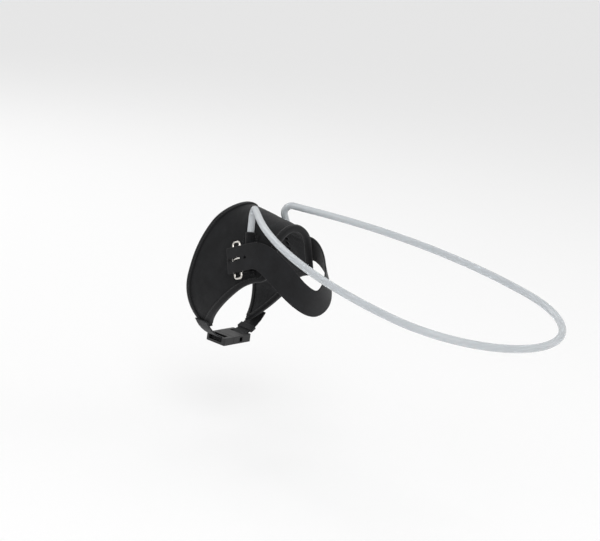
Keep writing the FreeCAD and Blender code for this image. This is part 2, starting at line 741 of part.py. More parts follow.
# The strap leaves the buckle forward, then falls round the front of the chest: a
# smooth curve whose stations carry the strap's section.
STATIONS = 7
hang_start = BUCKLE.along * size("chest_strap_lead")
hang_end = Vector(-size("chest_strap_spread"), 0, size("chest_strap_spread") * 0.12)
front_face = unit(Vector(0, -1, size("chest_strap_lean")))


def strap_station(t):
    """Place, heading and facing of the strap at a share t of its way to the front."""
    b0, b1 = strap_start, strap_start + hang_start
    b2, b3 = front_point + hang_end, front_point
    u = 1 - t
    place = b0 * u ** 3 + b1 * (3 * u * u * t) + b2 * (3 * u * t * t) + b3 * t ** 3
    heading = (b1 - b0) * (3 * u * u) + (b2 - b1) * (6 * u * t) + (b3 - b2) * (3 * t * t)
    face = out_dir * u + front_face * t
    return place, unit(heading), unit(face)


def strap_section(t):
    """Four corners of the strap's section at one station."""
    place, heading, face = strap_station(t)
    across = unit(heading.cross(face))
    if across.z < 0:
        across = across * -1
    normal = unit(across.cross(heading))
    if normal.dot(face) < 0:
        normal = normal * -1
    wide = across * strap_half
    thick = normal * (strap_t / 2)
    return [place + wide + thick, place - wide + thick, place - wide - thick, place + wide - thick]


shares = [0.0, 0.05] + [i / STATIONS for i in range(1, STATIONS)]
right_rows = [strap_section(t) for t in shares]
left_rows = [[mirror_x(v) for v in row] for row in reversed(right_rows)]
centre_row = [Vector(0, v.y, v.z) for v in strap_section(1.0)]
sections = [Part.makePolygon(row + [row[0]]) for row in right_rows + [centre_row] + left_rows]
curved = Part.makeLoft(sections, True, False)
strap = flat.fuse(curved).fuse(flat.mirror(Vector(0, 0, 0), Vector(1, 0, 0))).removeSplitter()
feature("chest_strap", strap)

# ---------------------------------------------------------------- girth strap
girth_half = size("girth_width") / 2
girth_y = size("girth_centre_station")
girth_k = yoke_scale(girth_y + girth_half)
girth_centre = Vector(0, girth_y, -size("yoke_bottom_drop") * girth_k)
girth_in = size("yoke_bottom_radius") * girth_k + size("binding_wrap") + size("girth_gap")
girth_t = size("girth_thickness")
clip_bar_r = size("clip_bar") / 2
loop_in = clip_bar_r + size("clip_fit") / 4
loop_out = loop_in + girth_t
female_bar = size("clip_cavity_depth") + size("clip_wall") + size("clip_slot") / 2
male_bar = -(size("clip_male_length") - size("clip_end_rail") - size("clip_slot") / 2)
lap_z = TIP.z + size("girth_lap_height")
lap_angle = math.asin(max(min((lap_z - girth_centre.z) / girth_in, 0.9), -0.9))


def girth_band(sign, bar_x):
    """One side of the girth strap, from its lap on the yoke tip to the clip's bar."""
    end_angle = -math.acos(min(abs(bar_x) / (girth_in + girth_t / 2), 1.0))
    inner, outer = girth_in, girth_in + girth_t

    def at(radius, angle):
        return Vector(sign * radius * math.cos(angle), girth_y - girth_half,
                      girth_centre.z + radius * math.sin(angle))

    middle = (lap_angle + end_angle) / 2
    edges = [
        Part.Arc(at(inner, lap_angle), at(inner, middle), at(inner, end_angle)).toShape(),
        Part.LineSegment(at(inner, end_angle), at(outer, end_angle)).toShape(),
        Part.Arc(at(outer, end_angle), at(outer, middle), at(outer, lap_angle)).toShape(),
        Part.LineSegment(at(outer, lap_angle), at(inner, lap_angle)).toShape(),
    ]
    band = Part.Face(Part.Wire(edges)).extrude(Vector(0, girth_half * 2, 0))
    return band, at((inner + outer) / 2, end_angle)


bar_reach = (female_bar - male_bar) / 2
band_left, end_left = girth_band(1, bar_reach)
band_right, end_right = girth_band(-1, bar_reach)
clip_z = min(end_left.z, end_right.z) - loop_out + girth_t / 2
clip_x = -(female_bar + male_bar) / 2


def looped(band, bar_x):
    """Strap with its end turned round the clip's bar."""
    start = Vector(bar_x, girth_y - girth_half, clip_z)
    roll = Part.makeCylinder(loop_out, girth_half * 2, start, Vector(0, 1, 0))
    bore = Part.makeCylinder(loop_in, girth_half * 2, start, Vector(0, 1, 0))
    return band.fuse(roll).cut(bore).removeSplitter()


feature("girth_strap_left", looped(band_left, bar_reach))
feature("girth_strap_right", looped(band_right, -bar_reach))

# ---------------------------------------------------------------- side release clip
CLIP = FreeCAD.Placement(Vector(clip_x, girth_y, clip_z), FreeCAD.Rotation())


def symmetric(pad):
    """Let a pad or pocket run both ways from its sketch."""
    if "Midplane" in pad.PropertiesList:
        pad.Midplane = True
    else:
        pad.SideType = "Symmetric"


def pad_rectangle(body, name, box, exprs, length_expr):
    sketch = new_sketch(body, name + "_sketch", "XY_Plane")
    add_rectangle(sketch, name, *box, exprs)
    pad = body.newObject("PartDesign::Pad", name)
    pad.Profile = sketch
    pad.setExpression("Length", length_expr)
    symmetric(pad)
    body.Tip = pad
    return pad


def pocket_rectangle(body, name, box, exprs, length_expr):
    doc.recompute()
    before = body.Shape.Volume
    sketch = new_sketch(body, name + "_sketch", "XY_Plane")
    add_rectangle(sketch, name, *box, exprs)
    cut = body.newObject("PartDesign::Pocket", name)
    cut.Profile = sketch
    cut.setExpression("Length", length_expr)
    symmetric(cut)
    body.Tip = cut
    doc.recompute()
    if body.Shape.Volume >= before:
        raise ValueError(name + " removed nothing")
    return cut


cw = size("clip_width")
wall = size("clip_wall")
depth = size("clip_cavity_depth")
slot = size("clip_slot")
female = new_body("girth_clip_female_body", CLIP)
pad_rectangle(female, "female_block", (0, -cw / 2, size("clip_female_length"), cw / 2),
              ("0", "-sizes.clip_width / 2", "sizes.clip_female_length", "sizes.clip_width / 2"),
              "sizes.clip_thickness")
doc.recompute()
rim_edges = []
for i, edge in enumerate(female.Tip.Shape.Edges, start=1):
    a, b = edge.Vertexes[0].Point, edge.Vertexes[1].Point
    upright = abs(a.z - b.z) > size("clip_thickness") - 0.01
    if upright and a.x > size("clip_female_length") - 0.01:
        rim_edges.append("Edge%d" % i)
female_block = female.Tip
female_fillet = female.newObject("PartDesign::Fillet", "female_corners")
female_fillet.Base = (female_block, rim_edges)
female_fillet.setExpression("Radius", "sizes.clip_corner")
female.Tip = female_fillet
pocket_rectangle(female, "female_cavity", (-1, -cw / 2 + wall, depth, cw / 2 - wall),
                 ("-1", "-sizes.clip_width / 2 + sizes.clip_wall", "sizes.clip_cavity_depth",
                  "sizes.clip_width / 2 - sizes.clip_wall"),
                 "sizes.clip_thickness - 2 * sizes.clip_wall")
window0 = size("clip_prong_length") - size("clip_barb_length") - size("clip_fit")
window1 = size("clip_prong_length") + size("clip_fit")
pocket_rectangle(female, "female_windows", (window0, -cw / 2 - 1, window1, cw / 2 + 1),
                 ("sizes.clip_prong_length - sizes.clip_barb_length - sizes.clip_fit",
                  "-sizes.clip_width / 2 - 1",
                  "sizes.clip_prong_length + sizes.clip_fit", "sizes.clip_width / 2 + 1"),
                 "sizes.clip_thickness - 2 * sizes.clip_wall")
pocket_rectangle(female, "female_slot_inner",
                 (depth + wall, -girth_half - 0.5, depth + wall + slot / 2 - clip_bar_r, girth_half + 0.5),
                 ("sizes.clip_cavity_depth + sizes.clip_wall",
                  "-sizes.girth_width / 2 - sizes.clip_fit",
                  "sizes.clip_cavity_depth + sizes.clip_wall + sizes.clip_slot / 2 - sizes.clip_bar / 2",
                  "sizes.girth_width / 2 + sizes.clip_fit"),
                 "sizes.clip_thickness + 2")
pocket_rectangle(female, "female_slot_outer",
                 (depth + wall + slot / 2 + clip_bar_r, -girth_half - 0.5, depth + wall + slot, girth_half + 0.5),
                 ("sizes.clip_cavity_depth + sizes.clip_wall + sizes.clip_slot / 2 + sizes.clip_bar / 2",
                  "-sizes.girth_width / 2 - sizes.clip_fit",
                  "sizes.clip_cavity_depth + sizes.clip_wall + sizes.clip_slot",
                  "sizes.girth_width / 2 + sizes.clip_fit"),
                 "sizes.clip_thickness + 2")
doc.recompute()


def slim_bar(body, bar_x, label):
    """Thin the crossbar between the two slots to a round bar for the webbing."""
    gap = doc.addObject("Part::Feature", label + "_trim")
    reach = loop_out + size("clip_fit") / 4
    high = size("clip_thickness")
    wide = girth_half + size("clip_fit")
    tool = Part.makeBox(clip_bar_r * 2 + 0.2, wide * 2, high,
                        Vector(bar_x - clip_bar_r - 0.1, -wide, -high / 2))
    rod = Part.makeCylinder(clip_bar_r, wide * 2, Vector(bar_x, -wide, 0), Vector(0, 1, 0))
    # the rail beyond the bar stays low, so the webbing runs out over it
    rail_top = -clip_bar_r
    far = size("clip_female_length") + size("clip_male_length")
    start_x = bar_x if bar_x > 0 else bar_x - far
    tool = tool.fuse(Part.makeBox(far, wide * 2, high,
                                  Vector(start_x, -wide, rail_top))).cut(rod)
    gap.Shape = tool
    gap.Placement = CLIP
    trimmed = doc.addObject("Part::Cut", label)
    trimmed.Base = body
    trimmed.Tool = gap
    return keep(trimmed, label)


slim_bar(female, female_bar, "girth_clip_female")

male_len = size("clip_male_length")
rail = size("clip_end_rail")
face_gap = size("clip_face_gap")
male = new_body("girth_clip_male_body", CLIP)
pad_rectangle(male, "male_block", (-male_len, -cw / 2, -face_gap, cw / 2),
              ("-sizes.clip_male_length", "-sizes.clip_width / 2", "-sizes.clip_face_gap",
               "sizes.clip_width / 2"), "sizes.clip_thickness")
doc.recompute()
rim_edges = []
for i, edge in enumerate(male.Tip.Shape.Edges, start=1):
    a, b = edge.Vertexes[0].Point, edge.Vertexes[1].Point
    upright = abs(a.z - b.z) > size("clip_thickness") - 0.01
    if upright and a.x < -male_len + 0.01:
        rim_edges.append("Edge%d" % i)
male_block = male.Tip
male_fillet = male.newObject("PartDesign::Fillet", "male_corners")
male_fillet.Base = (male_block, rim_edges)
male_fillet.setExpression("Radius", "sizes.clip_corner")
male.Tip = male_fillet
pocket_rectangle(male, "male_slot_outer",
                 (-male_len + rail, -girth_half - 0.5, male_bar - clip_bar_r, girth_half + 0.5),
                 ("-sizes.clip_male_length + sizes.clip_end_rail",
                  "-sizes.girth_width / 2 - sizes.clip_fit",
                  "-sizes.clip_male_length + sizes.clip_end_rail + sizes.clip_slot / 2 - sizes.clip_bar / 2",
                  "sizes.girth_width / 2 + sizes.clip_fit"),
                 "sizes.clip_thickness + 2")
pocket_rectangle(male, "male_slot_inner",
                 (male_bar + clip_bar_r, -girth_half - 0.5, male_bar + slot / 2, girth_half + 0.5),
                 ("-sizes.clip_male_length + sizes.clip_end_rail + sizes.clip_slot / 2 + sizes.clip_bar / 2",
                  "-sizes.girth_width / 2 - sizes.clip_fit",
                  "-sizes.clip_male_length + sizes.clip_end_rail + sizes.clip_slot",
                  "sizes.girth_width / 2 + sizes.clip_fit"),
                 "sizes.clip_thickness + 2")
guide_pad = pad_rectangle(male, "male_guide",
                          (-face_gap, -size("clip_guide_width") / 2, size("clip_guide_length"),
                           size("clip_guide_width") / 2),
                          ("-sizes.clip_face_gap - 0.1", "-sizes.clip_guide_width / 2",
                           "sizes.clip_guide_length", "sizes.clip_guide_width / 2"),
                          "sizes.clip_thickness - 2 * sizes.clip_wall - 2 * sizes.clip_fit")
doc.recompute()
slim_bar(male, male_bar, "girth_clip_male")

prong_out = cw / 2 - wall - size("clip_prong_inset")
prong_in = prong_out - size("clip_prong_width")
prong_t = size("clip_thickness") - 2 * wall - 2 * size("clip_fit")
prongs = []
for sign in (-1, 1):
    outline = [
        (-face_gap, prong_in), (size("clip_prong_length") - 1.5, prong_in),
        (size("clip_prong_length"), prong_in + 1.2),
        (size("clip_prong_length"), prong_out),
        (size("clip_prong_length") - size("clip_barb_length") + 1.0, cw / 2 - 0.2),
        (size("clip_prong_length") - size("clip_barb_length"), cw / 2 - 0.2),
        (size("clip_prong_length") - size("clip_barb_length"), prong_out),
        (-face_gap, prong_out),
    ]
    points = [Vector(x, sign * y, -prong_t / 2) for x, y in outline]
    face = Part.Face(Part.makePolygon(points + [points[0]]))
    prongs.append(face.extrude(Vector(0, 0, prong_t)))
arms = feature("girth_clip_arms", Part.makeCompound(prongs))
arms.Placement = CLIP

# ---------------------------------------------------------------- girth keeper
kt = size("keeper_thickness")
kg = size("keeper_gap")
keeper_mid = girth_in + girth_t / 2
hole_half = girth_t / 2 + kg
ring_half = hole_half + kt
kw = size("keeper_width") / 2
ky = girth_half + kg


def sector(r0, r1, half_y, half_span):
    """Curved block about the girth's own centre."""
    def at(radius, angle):
        return Vector(radius * math.cos(angle), girth_y - half_y,
                      girth_centre.z + radius * math.sin(angle))
    mid = -math.radians(size("keeper_angle"))
    a, b = mid - half_span, mid + half_span
    edges = [
        Part.Arc(at(r0, a), at(r0, mid), at(r0, b)).toShape(),
        Part.LineSegment(at(r0, b), at(r1, b)).toShape(),
        Part.Arc(at(r1, b), at(r1, mid), at(r1, a)).toShape(),
        Part.LineSegment(at(r1, a), at(r0, a)).toShape(),
    ]
    return Part.Face(Part.Wire(edges)).extrude(Vector(0, half_y * 2, 0))


span = kw / keeper_mid
keeper = sector(keeper_mid - ring_half, keeper_mid + ring_half, ky + kt, span)
keeper = keeper.cut(sector(keeper_mid - hole_half, keeper_mid + hole_half, ky, span * 2))
feature("girth_keeper", keeper)

# ---------------------------------------------------------------- checks and files
doc.recompute()
for obj in doc.Objects:
    if "Invalid" in obj.State or "Error" in obj.State:
        raise RuntimeError("%s did not compute: %s" % (obj.Name, obj.State))
for label, obj in sorted(NODES.items()):
    shape = obj.Shape
    if shape.isNull() or not shape.isValid() or shape.Volume <= 0:
        raise RuntimeError("%s is not a sound solid" % label)
    box = shape.BoundBox
    print("%-22s solids %d  volume %9.1f  x %6.1f..%6.1f  y %6.1f..%6.1f  z %6.1f..%6.1f" % (
        label, len(shape.Solids), shape.Volume, box.XMin, box.XMax, box.YMin, box.YMax, box.ZMin, box.ZMax))
for label, obj in sorted(NODES.items()):
    obj.Shape.exportStep(os.path.join("parts", label + ".step"))
print("hoop nose radius %.1f, %d sub-parts" % (nose_r, len(NODES)))
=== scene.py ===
import json
import math

import bmesh
import bpy
import numpy as np
from mathutils import Matrix, Vector, noise
from mathutils.bvhtree import BVHTree


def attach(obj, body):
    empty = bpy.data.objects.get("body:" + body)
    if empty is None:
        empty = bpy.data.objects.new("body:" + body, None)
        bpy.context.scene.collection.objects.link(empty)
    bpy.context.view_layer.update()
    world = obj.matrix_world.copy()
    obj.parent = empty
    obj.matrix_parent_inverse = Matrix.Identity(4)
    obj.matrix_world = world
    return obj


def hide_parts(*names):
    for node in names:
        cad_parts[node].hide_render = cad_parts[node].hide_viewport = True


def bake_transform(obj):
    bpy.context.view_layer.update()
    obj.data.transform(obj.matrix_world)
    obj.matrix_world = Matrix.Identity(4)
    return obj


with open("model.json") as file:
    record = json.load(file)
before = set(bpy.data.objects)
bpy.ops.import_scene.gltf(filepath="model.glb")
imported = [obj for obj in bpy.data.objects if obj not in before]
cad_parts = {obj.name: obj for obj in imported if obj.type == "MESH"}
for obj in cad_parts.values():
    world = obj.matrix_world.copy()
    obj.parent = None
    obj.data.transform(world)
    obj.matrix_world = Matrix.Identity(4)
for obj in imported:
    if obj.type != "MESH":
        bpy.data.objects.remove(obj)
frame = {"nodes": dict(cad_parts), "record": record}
NODES = frame["nodes"]
JOINTS = {j["name"]: j for j in frame["record"]["behaviour"]["joints"]}
MM = 0.001
# Points closer than this are one point when a mesh is welded
WELD = 1e-5
# An edge that turns by more than this, in radians, is a rim
RIM_ANGLE = 0.38
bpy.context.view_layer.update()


# ---------------------------------------------------------------- materials
def linear(code):
    """Linear colour from an sRGB hex code."""
    parts = [int(code[i:i + 2], 16) / 255 for i in (0, 2, 4)]
    return tuple(c / 12.92 if c <= 0.04045 else ((c + 0.055) / 1.055) ** 2.4 for c in parts) + (1.0,)


def add(tree, kind, links=None, **settings):
    """A shader node with its settings, and its inputs set to values or linked to outputs."""
    node = tree.nodes.new(kind)
    for key, value in settings.items():
        setattr(node, key, value)
    for key, value in (links or {}).items():
        if isinstance(value, bpy.types.NodeSocket):
            tree.links.new(value, node.inputs[key])
        else:
            node.inputs[key].default_value = value
    return node


def principled(name, **values):
    """A new material and its shader, with constant values set on the sockets."""
    mat = bpy.data.materials.new(name)
    mat.use_nodes = True
    tree = mat.node_tree
    tree.nodes.clear()
    shader = add(tree, "ShaderNodeBsdfPrincipled", {k.replace("_", " "): v for k, v in values.items()})
    out = add(tree, "ShaderNodeOutputMaterial")
    tree.links.new(shader.outputs[0], out.inputs["Surface"])
    return mat, tree, shader


def scaled_coords(tree, per_metre, source="Object"):
    coords = add(tree, "ShaderNodeTexCoord")
    return add(tree, "ShaderNodeVectorMath", {0: coords.outputs[source], 1: (per_metre,) * 3},
               operation="MULTIPLY").outputs[0]


def bump(tree, shader, height, depth, strength):
    node = add(tree, "ShaderNodeBump", {"Height": height, "Distance": depth, "Strength": strength})
    tree.links.new(node.outputs[0], shader.inputs["Normal"])


def fabric(name, dark, light, thread_mm, depth_mm, rough=0.86, sheen=0.25, source="Object"):
    """Woven cloth: two crossing sets of threads in relief, uneven dye and a little fibre sheen."""
    mat, tree, shader = principled(name, Roughness=rough, Sheen_Weight=sheen, Sheen_Roughness=0.5,
                                   Specular_IOR_Level=0.25)
    coords = scaled_coords(tree, 1.0 / (thread_mm * MM), source)
    bands = []
    for axis in ("X", "Y", "Z"):
        wave = add(tree, "ShaderNodeTexWave", {"Vector": coords, "Scale": 0.314, "Distortion": 0.6,
                                               "Detail": 1.0}, bands_direction=axis)
        bands.append(wave.outputs["Fac"])
    cross = add(tree, "ShaderNodeMath", {0: bands[0], 1: bands[1]}, operation="MAXIMUM").outputs[0]
    cross = add(tree, "ShaderNodeMath", {0: cross, 1: bands[2]}, operation="MULTIPLY_ADD")
    cross.inputs[2].default_value = 0.2
    cloudy = add(tree, "ShaderNodeTexNoise", {"Vector": scaled_coords(tree, 60.0), "Scale": 1.0,
                                              "Detail": 4.0, "Roughness": 0.6})
    fibre = add(tree, "ShaderNodeTexNoise", {"Vector": scaled_coords(tree, 1800.0), "Scale": 1.0,
                                             "Detail": 3.0})
    share = add(tree, "ShaderNodeMath", {0: cloudy.outputs["Fac"], 1: fibre.outputs["Fac"]},
                operation="MULTIPLY")
    spread = add(tree, "ShaderNodeMapRange", {"Value": share.outputs[0], "From Min": 0.12,
                                              "From Max": 0.42})
    tint = add(tree, "ShaderNodeMix", {"Factor": spread.outputs[0], "A": linear(dark),
                                       "B": linear(light)}, data_type="RGBA")
    tree.links.new(tint.outputs["Result"], shader.inputs["Base Color"])
    height = add(tree, "ShaderNodeMath", {0: cross.outputs[0], 1: fibre.outputs["Fac"]},
                 operation="ADD").outputs[0]
    bump(tree, shader, height, depth_mm * MM, 0.6)
    return mat


# The pad's face cloth: matt black polyester, a fine weave that breaks the light into a soft grain
SHELL = fabric("black_woven_polyester", "09090b", "1a1b1d", 0.55, 0.12, sheen=0.12)
# The side against the coat: an open knit, a shade greyer and softer than the face
LINING = fabric("black_spacer_mesh", "0e0f11", "202124", 1.5, 0.4, rough=0.92, sheen=0.18)
# The edge tape: flat ribbed tape with a slight sheen that draws the yoke's outline
BINDING = fabric("black_grosgrain_tape", "060608", "121315", 0.8, 0.15, rough=0.72, sheen=0.12, source="UV")
# Straps and tabs: coarse nylon webbing whose ribs run across it
WEBBING = fabric("black_nylon_webbing", "08080a", "1a1b1e", 1.5, 0.45, rough=0.7, sheen=0.12, source="UV")
# The sleeves that hold the hoop: the face cloth again, pulled tight over the tube
SLEEVE = fabric("black_sleeve_cloth", "08080a", "151619", 0.55, 0.12, rough=0.84, sheen=0.1)
# The keeper: ribbed elastic
ELASTIC = fabric("black_knitted_elastic", "0d0d0f", "242529", 1.0, 0.25, rough=0.88, source="UV")


def thread():
    # Sewing thread: bonded nylon, a touch glossier than the cloth, so the rows can be made out
    mat, tree, shader = principled("black_bonded_thread", Base_Color=linear("1b1c1f"), Roughness=0.5,
                                   Sheen_Weight=0.2)
    twist = add(tree, "ShaderNodeTexNoise", {"Vector": scaled_coords(tree, 3000.0), "Scale": 1.0})
    bump(tree, shader, twist.outputs["Fac"], 0.05 * MM, 0.5)
    return mat


def clear_tube():
    # The hoop: flexible PVC tube, milky and part clear, bright along its edges and cooler in the middle
    mat, tree, shader = principled("milky_clear_pvc", Roughness=0.2, IOR=1.4,
                                   Transmission_Weight=0.45, Specular_IOR_Level=0.5,
                                   Subsurface_Weight=0.25, Subsurface_Scale=0.004)
    shader.inputs["Subsurface Radius"].default_value = (1.0, 1.0, 1.0)
    cloud = add(tree, "ShaderNodeTexNoise", {"Vector": scaled_coords(tree, 40.0), "Scale": 1.0,
                                             "Detail": 3.0})
    tint = add(tree, "ShaderNodeMix", {"Factor": cloud.outputs["Fac"], "A": linear("e0e6ea"),
                                       "B": linear("edf0f3")}, data_type="RGBA")
    tree.links.new(tint.outputs["Result"], shader.inputs["Base Color"])
    fine = add(tree, "ShaderNodeTexNoise", {"Vector": scaled_coords(tree, 500.0), "Scale": 1.0,
                                            "Detail": 2.0})
    bump(tree, shader, fine.outputs["Fac"], 0.03 * MM, 0.25)
    return mat


def solid_plastic(name, dark, light, rough, grain_per_m, depth_mm, metallic=0.0):
    """Moulded or plated surface: nearly even colour, fine grain, roughness that wanders a little."""
    mat, tree, shader = principled(name, Metallic=metallic)
    cloud = add(tree, "ShaderNodeTexNoise", {"Vector": scaled_coords(tree, 90.0), "Scale": 1.0,
                                             "Detail": 4.0})
    tint = add(tree, "ShaderNodeMix", {"Factor": cloud.outputs["Fac"], "A": linear(dark),
                                       "B": linear(light)}, data_type="RGBA")
    tree.links.new(tint.outputs["Result"], shader.inputs["Base Color"])
    wander = add(tree, "ShaderNodeMapRange", {"Value": cloud.outputs["Fac"], "To Min": rough * 0.8,
                                              "To Max": rough * 1.25})
    tree.links.new(wander.outputs[0], shader.inputs["Roughness"])
    grain = add(tree, "ShaderNodeTexNoise", {"Vector": scaled_coords(tree, grain_per_m), "Scale": 1.0,
                                             "Detail": 2.0})
    bump(tree, shader, grain.outputs["Fac"], depth_mm * MM, 0.5)
    return mat


THREAD = thread()
TUBE = clear_tube()
# The spring core seen through the tube: pale grey fibreglass rod
CORE = solid_plastic("pale_fibreglass_rod", "c3c9cf", "d5dade", 0.4, 900.0, 0.03)
# Plugs in the tube ends: black rubber, matt
CAP = solid_plastic("black_rubber", "0a0a0a", "151515", 0.7, 1500.0, 0.05)
# Buckle frames, rollers and tongues: polished nickel plate, the only bright points on the yoke
NICKEL = solid_plastic("bright_nickel_plate", "c9c5bf", "e2dfda", 0.17, 700.0, 0.015, metallic=1.0)
# The girth clip: acetal with a spark-eroded grain, satin black
ACETAL = solid_plastic("black_acetal", "0c0c0e", "151517", 0.42, 2600.0, 0.05)


# ---------------------------------------------------------------- mesh helpers
def link(obj):
    bpy.context.scene.collection.objects.link(obj)
    return obj


def welded(name, *nodes):
    """A new object with a welded copy of these nodes' meshes."""
    bm = bmesh.new()
    for node in nodes:
        bm.from_mesh(NODES[node].data)
    bmesh.ops.remove_doubles(bm, verts=bm.verts, dist=WELD)
    mesh = bpy.data.meshes.new(name)
    bm.to_mesh(mesh)
    bm.free()
    return link(bpy.data.objects.new(name, mesh))


def bake(obj):
    """Apply an object's modifiers to its mesh."""
    graph = bpy.context.evaluated_depsgraph_get()
    mesh = bpy.data.meshes.new_from_object(obj.evaluated_get(graph))
    obj.modifiers.clear()
    obj.data = mesh
    return obj


def smooth(obj, mat=None):
    for face in obj.data.polygons:
        face.use_smooth = True
    if mat:
        obj.data.materials.clear()
        obj.data.materials.append(mat)
    return obj


def soft(name, nodes, voxel_mm, rounds, mat):
    """A sewn piece: the welded copy with its hard edges rounded over, as cloth of that thickness sits."""
    obj = welded(name, *nodes)
    remesh = obj.modifiers.new("remesh", "REMESH")
    remesh.mode = "VOXEL"
    remesh.voxel_size = voxel_mm * MM
    ease = obj.modifiers.new("ease", "SMOOTH")
    ease.factor = 0.5
    ease.iterations = rounds
    return smooth(bake(obj), mat)


def points(obj):
    flat = np.empty(len(obj.data.vertices) * 3)
    obj.data.vertices.foreach_get("co", flat)
    return flat.reshape(-1, 3)


def put(obj, places):
    obj.data.vertices.foreach_set("co", np.ascontiguousarray(places, dtype=np.float32).ravel())
    obj.data.update()


def normals(obj):
    flat = np.empty(len(obj.data.vertices) * 3, dtype=np.float32)
    obj.data.vertex_normals.foreach_get("vector", flat)
    return flat.reshape(-1, 3).astype(float)


def tree_of(obj):
    return BVHTree.FromPolygons([v.co for v in obj.data.vertices],
                                [tuple(p.vertices) for p in obj.data.polygons])


def distance_to(places, targets):
    """Distance of each place to the nearest of a set of points."""
    out = np.full(len(places), 1e9)
    for i in range(0, len(targets), 400):
        block = targets[i:i + 400]
        near = np.sqrt(((places[:, None, :] - block[None]) ** 2).sum(2)).min(1)
        out = np.minimum(out, near)
    return out


def path_uv(obj, bins, angle_of, across):
    """UV in millimetres along and across a strap: along its middle line, found in slices of angle."""
    places = points(obj)
    angle = angle_of(places)
    marks = np.linspace(angle.min(), angle.max() + 1e-6, bins + 1)
    which = np.clip(np.digitize(angle, marks) - 1, 0, bins - 1)
    middle = np.array([places[which == i].mean(0) for i in range(bins) if (which == i).any()])
    mark = np.array([angle[which == i].mean() for i in range(bins) if (which == i).any()])
    run = np.r_[0, np.cumsum(np.linalg.norm(np.diff(middle, axis=0), axis=1))]
    u = np.interp(angle, mark, run)
    centre = np.c_[[np.interp(angle, mark, middle[:, k]) for k in range(3)]].T
    v = (places - centre) @ across
    layer = obj.data.uv_layers.new(name="along_strap")
    for loop in obj.data.loops:
        i = loop.vertex_index
        layer.data[loop.index].uv = (u[i], v[i])


# ---------------------------------------------------------------- frames of reference on the side
def unit(v):
    return v / np.linalg.norm(v)


hinge = JOINTS["tongue_right_hinge"]
BUCKLE_RISE = -unit(np.array(hinge["axis"]))
rear_bar = np.array(hinge["pos_m"])
front_bar = np.array(JOINTS["roller_right_spin"]["pos_m"])
BUCKLE_ALONG = unit(front_bar - rear_bar)
OUT = unit(np.cross(BUCKLE_ALONG, BUCKLE_RISE))
if OUT[0] > 0:
    OUT = -OUT
BUCKLE_MID = (rear_bar + front_bar) / 2

sleeve_pts = points(welded("sleeve_scratch", "sleeve_right"))
bpy.data.objects.remove(bpy.data.objects["sleeve_scratch"])
SLEEVE_MID = (sleeve_pts.max(0) + sleeve_pts.min(0)) / 2
_, _, rows = np.linalg.svd(sleeve_pts - sleeve_pts.mean(0), full_matrices=False)
SLEEVE_RISE = rows[0] * np.sign(rows[0][2])
SLEEVE_ALONG = unit(np.cross(SLEEVE_RISE, OUT))
if SLEEVE_ALONG[1] > 0:
    SLEEVE_ALONG = -SLEEVE_ALONG
spans = (sleeve_pts - SLEEVE_MID) @ SLEEVE_RISE
SLEEVE_MID = SLEEVE_MID + SLEEVE_RISE * (spans.max() + spans.min()) / 2
across_spans = (sleeve_pts - SLEEVE_MID) @ SLEEVE_ALONG
SLEEVE_MID = SLEEVE_MID + SLEEVE_ALONG * (across_spans.max() + across_spans.min()) / 2
out_spans = (sleeve_pts - SLEEVE_MID) @ OUT
SLEEVE_MID = SLEEVE_MID + OUT * (out_spans.max() + out_spans.min()) / 2
HALF_SLEEVE = (spans.max() - spans.min()) / 2


def on_sleeve(along, rise, out):
    return SLEEVE_MID + SLEEVE_ALONG * along + SLEEVE_RISE * rise + OUT * out


# ---------------------------------------------------------------- the yoke's outline
def rim_loops(node, least):
    """Closed runs of sharp edges on a node, longest first."""
    bm = bmesh.new()
    bm.from_mesh(NODES[node].data)
    bmesh.ops.remove_doubles(bm, verts=bm.verts, dist=WELD)
    sharp = {e.index: e for e in bm.edges if len(e.link_faces) == 2 and e.calc_face_angle() > least}
    at = {}
    for e in sharp.values():
        for v in e.verts:
            at.setdefault(v.index, []).append(e.index)
    bm.verts.ensure_lookup_table()
    left = set(sharp)
    loops = []
    while left:
        e = sharp[left.pop()]
        run = [e.verts[0].index, e.verts[1].index]
        while True:
            here = run[-1]
            options = [i for i in at[here] if i in left]
            if not options:
                break
            heading = (bm.verts[here].co - bm.verts[run[-2]].co).normalized()

            def turn(i):
                far = sharp[i].other_vert(bm.verts[here])
                return -(far.co - bm.verts[here].co).normalized().dot(heading)

            pick = min(options, key=turn)
            left.discard(pick)
            run.append(sharp[pick].other_vert(bm.verts[here]).index)
            if run[-1] == run[0]:
                break
        line = np.array([bm.verts[i].co[:] for i in run])
        loops.append(line)
    bm.free()
    return sorted(loops, key=lambda c: -np.linalg.norm(np.diff(c, axis=0), axis=1).sum())


def resample(line, count):
    """Evenly spaced points round a closed run."""
    run = np.r_[0, np.cumsum(np.linalg.norm(np.diff(line, axis=0), axis=1))]
    where = np.linspace(0, run[-1], count, endpoint=False)
    return np.c_[[np.interp(where, run, line[:, k]) for k in range(3)]].T


def eased(line, rounds):
    for _ in range(rounds):
        line = line * 0.5 + (np.roll(line, 1, 0) + np.roll(line, -1, 0)) * 0.25
    return line


RIM_COUNT = 900
outer = rim_loops("yoke_outer_shell", RIM_ANGLE)[:2]
inner = rim_loops("yoke_mesh_lining", RIM_ANGLE)[:2]
outer_rim = max(outer, key=lambda c: np.abs(c[:, 0]).mean())
inner_rim = min(inner, key=lambda c: np.abs(c[:, 0]).mean())
outer_rim = eased(resample(outer_rim, RIM_COUNT), 3)
dense = resample(inner_rim, RIM_COUNT * 3)
inner_rim = eased(np.array([dense[((dense - p) ** 2).sum(1).argmin()] for p in outer_rim]), 6)

shell_tree = tree_of(NODES["yoke_outer_shell"])
lining_tree = tree_of(NODES["yoke_mesh_lining"])


